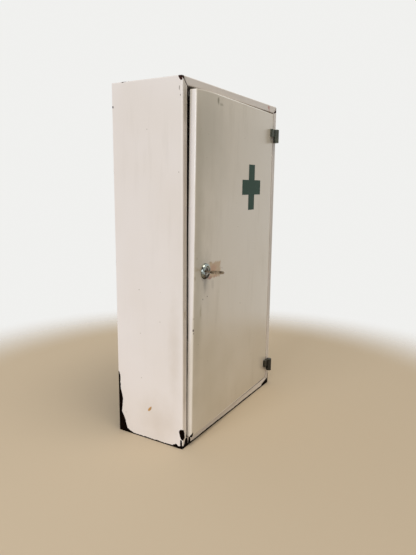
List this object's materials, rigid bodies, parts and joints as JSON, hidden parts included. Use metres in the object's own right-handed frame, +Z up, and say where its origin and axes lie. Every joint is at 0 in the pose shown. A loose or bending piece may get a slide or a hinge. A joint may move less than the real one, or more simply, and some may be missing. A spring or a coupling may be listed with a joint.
{
  "type": "medical cabinet",
  "caption": "Wall-hung sheet steel medical cabinet with a hinged door, shelves, a cross on the door, and a cam lock with its key in it.",
  "frame": {"origin": "centre of the underside of the cabinet, at the middle of its width and depth", "axes": "+Z is up, along the height; +Y points to the wall behind the cabinet; the door faces -Y and +X is to the right of someone who faces the door"},
  "size_m": [0.35, 0.1836, 0.6],
  "materials": {
    "carcass_enamel": "aged semi-gloss cream enamel on sheet steel",
    "back_enamel": "thin cream enamel on sheet steel",
    "shelf_enamel": "cream enamel on sheet steel",
    "door_enamel": "aged semi-gloss cream enamel on sheet steel",
    "hinge_paint": "dark green-black paint on cast steel",
    "hinge_pin_steel": "bare turned steel",
    "cross_film": "dull green film",
    "rose_chrome": "worn bright chrome plate",
    "lock_brass": "dull nickel-plated brass",
    "cam_steel": "zinc-plated pressed steel",
    "key_steel": "dark worn steel",
    "bumper_rubber": "grey-black moulded rubber"
  },
  "bodies": {
    "cabinet": {"left_side_panel": "carcass_enamel", "right_side_panel": "carcass_enamel", "top_panel": "carcass_enamel", "bottom_panel": "carcass_enamel", "back_panel": "back_enamel", "lower_shelf": "shelf_enamel", "upper_shelf": "shelf_enamel", "lower_shelf_rails": "shelf_enamel", "upper_shelf_rails": "shelf_enamel", "strike_plate": "carcass_enamel", "lower_stop_tab": "carcass_enamel", "upper_stop_tab": "carcass_enamel", "stop_bumpers": "bumper_rubber", "lower_hinge_frame_half": "hinge_paint", "upper_hinge_frame_half": "hinge_paint", "lower_hinge_pin": "hinge_pin_steel", "upper_hinge_pin": "hinge_pin_steel"},
    "door": {"door_pan": "door_enamel", "door_stiffener": "door_enamel", "green_cross": "cross_film", "lock_rosette": "rose_chrome", "lock_housing": "lock_brass", "lock_nut": "lock_brass", "lower_hinge_door_half": "hinge_paint", "upper_hinge_door_half": "hinge_paint"},
    "lock_plug": {"lock_plug": "lock_brass", "lock_cam": "cam_steel", "cam_washer": "cam_steel", "cam_screw": "cam_steel"},
    "key": {"key": "key_steel"}
  },
  "joints": [
    {"name": "door_hinge", "type": "hinge", "parent": "cabinet", "child": "door", "pos_m": [0.165, -0.0746, 0.292], "axis": [0, 0, 1], "range_deg": [-2.15, 175]},
    {"name": "lock_turn", "type": "hinge", "parent": "door", "child": "lock_plug", "pos_m": [-0.12401, -0.07983, 0.3], "axis": [-0.0375, 0.9992, 0.0115], "range_deg": [0, 90]},
    {"name": "key_pull", "type": "slide", "parent": "lock_plug", "child": "key", "axis": [0.0375, -0.9992, -0.0115], "range_m": [0, 0.018]}
  ]
}
